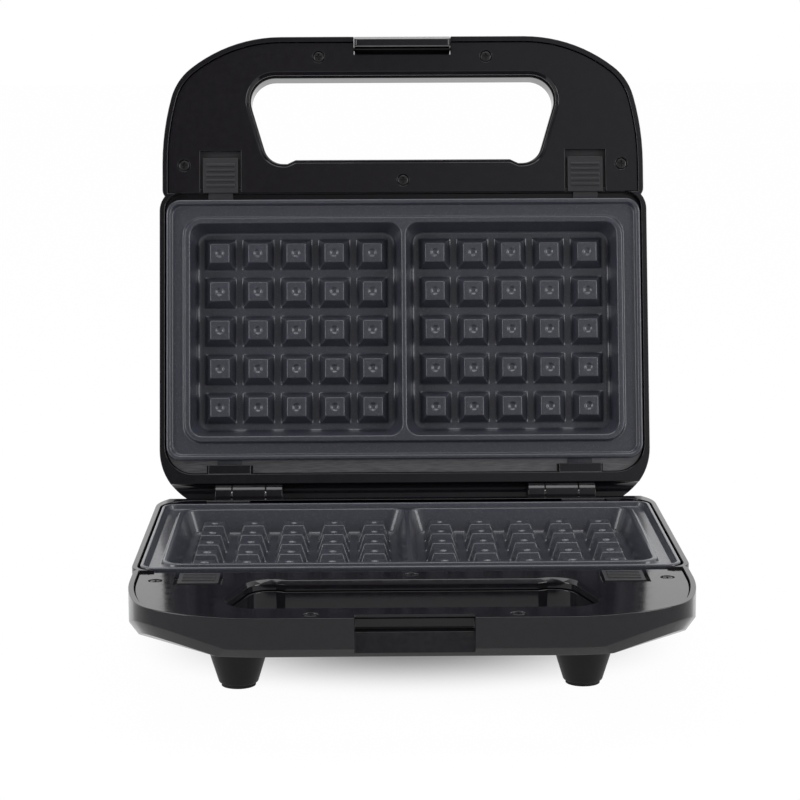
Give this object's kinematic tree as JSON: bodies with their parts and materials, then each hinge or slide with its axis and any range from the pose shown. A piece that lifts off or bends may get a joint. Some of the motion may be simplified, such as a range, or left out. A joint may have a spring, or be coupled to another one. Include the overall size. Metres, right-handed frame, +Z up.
{
  "type": "snack maker",
  "caption": "Countertop snack maker with a hinged lid, studded cooking plates, slotted bow handles, plate release buttons, a front latch and conical feet.",
  "frame": {"origin": "on the table, under the middle of the object's box with its lid open", "axes": "+Z up, +X to the right and +Y to the rear as seen from the handle side"},
  "size_m": [0.2392, 0.301, 0.2745],
  "materials": {
    "black_gloss": "glossy black moulded plastic",
    "latch_plastic": "black moulded plastic",
    "button_plastic": "dark grey ribbed plastic",
    "foot_plastic": "satin black plastic",
    "foot_rubber": "black rubber",
    "nonstick": "cast aluminium under a dark grey non-stick coating",
    "reflector_steel": "pressed sheet steel",
    "heater_steel": "sheathed heating tube",
    "clip_steel": "zinc-plated steel",
    "pin_steel": "turned steel",
    "screw_steel": "black screw",
    "spring_steel": "spring wire",
    "power_red": "clear red lens",
    "ready_green": "clear green lens",
    "lamp_glass": "small neon lamp",
    "thermostat_steel": "steel can",
    "fuse_ceramic": "pale sleeve",
    "terminal_nylon": "pale nylon",
    "gland_rubber": "black moulded bush"
  },
  "bodies": {
    "base": {"base_shell": "black_gloss", "base_frame": "black_gloss", "foot_front_left": "foot_plastic", "foot_front_right": "foot_plastic", "foot_rear_left": "foot_plastic", "foot_rear_right": "foot_plastic", "foot_pads": "foot_rubber", "lower_plate": "nonstick", "lower_reflector": "reflector_steel", "lower_heater": "heater_steel", "lower_heater_clips": "clip_steel", "hinge_pin_left": "pin_steel", "hinge_pin_right": "pin_steel", "base_frame_screws": "screw_steel", "lower_spring_left": "spring_steel", "lower_spring_right": "spring_steel", "thermostat": "thermostat_steel", "thermal_fuse": "fuse_ceramic", "terminal_block": "terminal_nylon", "cord_gland": "gland_rubber"},
    "lid": {"lid_shell": "black_gloss", "lid_frame": "black_gloss", "lid_frame_screws": "screw_steel", "upper_plate": "nonstick", "upper_reflector": "reflector_steel", "upper_heater": "heater_steel", "upper_heater_clips": "clip_steel", "upper_spring_left": "spring_steel", "upper_spring_right": "spring_steel", "latch_pin": "pin_steel", "power_lens": "power_red", "power_lamp": "lamp_glass", "ready_lens": "ready_green", "ready_lamp": "lamp_glass"},
    "latch": {"latch_clip": "latch_plastic"},
    "lower_left_button": {"lower_button_left": "button_plastic"},
    "lower_right_button": {"lower_button_right": "button_plastic"},
    "upper_left_button": {"upper_button_left": "button_plastic"},
    "upper_right_button": {"upper_button_right": "button_plastic"}
  },
  "joints": [
    {"name": "lid_hinge", "type": "hinge", "parent": "base", "child": "lid", "pos_m": [0, 0.07784, 0.0555], "axis": [1, 0, 0], "range_deg": [0, 104]},
    {"name": "latch_pivot", "type": "hinge", "parent": "lid", "child": "latch", "pos_m": [0, 0.14304, 0.26825], "axis": [1, 0, 0], "range_deg": [-50, 7]},
    {"name": "lower_left_release", "type": "slide", "parent": "base", "child": "lower_left_button", "axis": [0, -1, 0], "range_m": [0, 0.0032], "stiffness_N_per_m": 300, "springref_m": -0.002, "deforming": ["lower_spring_left"]},
    {"name": "upper_left_release", "type": "slide", "parent": "lid", "child": "upper_left_button", "axis": [0, 0.2419, 0.9703], "range_m": [0, 0.0032], "stiffness_N_per_m": 300, "springref_m": -0.002, "deforming": ["upper_spring_left"]},
    {"name": "lower_right_release", "type": "slide", "parent": "base", "child": "lower_right_button", "axis": [0, -1, 0], "range_m": [0, 0.0032], "stiffness_N_per_m": 300, "springref_m": -0.002, "deforming": ["lower_spring_right"]},
    {"name": "upper_right_release", "type": "slide", "parent": "lid", "child": "upper_right_button", "axis": [0, 0.2419, 0.9703], "range_m": [0, 0.0032], "stiffness_N_per_m": 300, "springref_m": -0.002, "deforming": ["upper_spring_right"]}
  ]
}
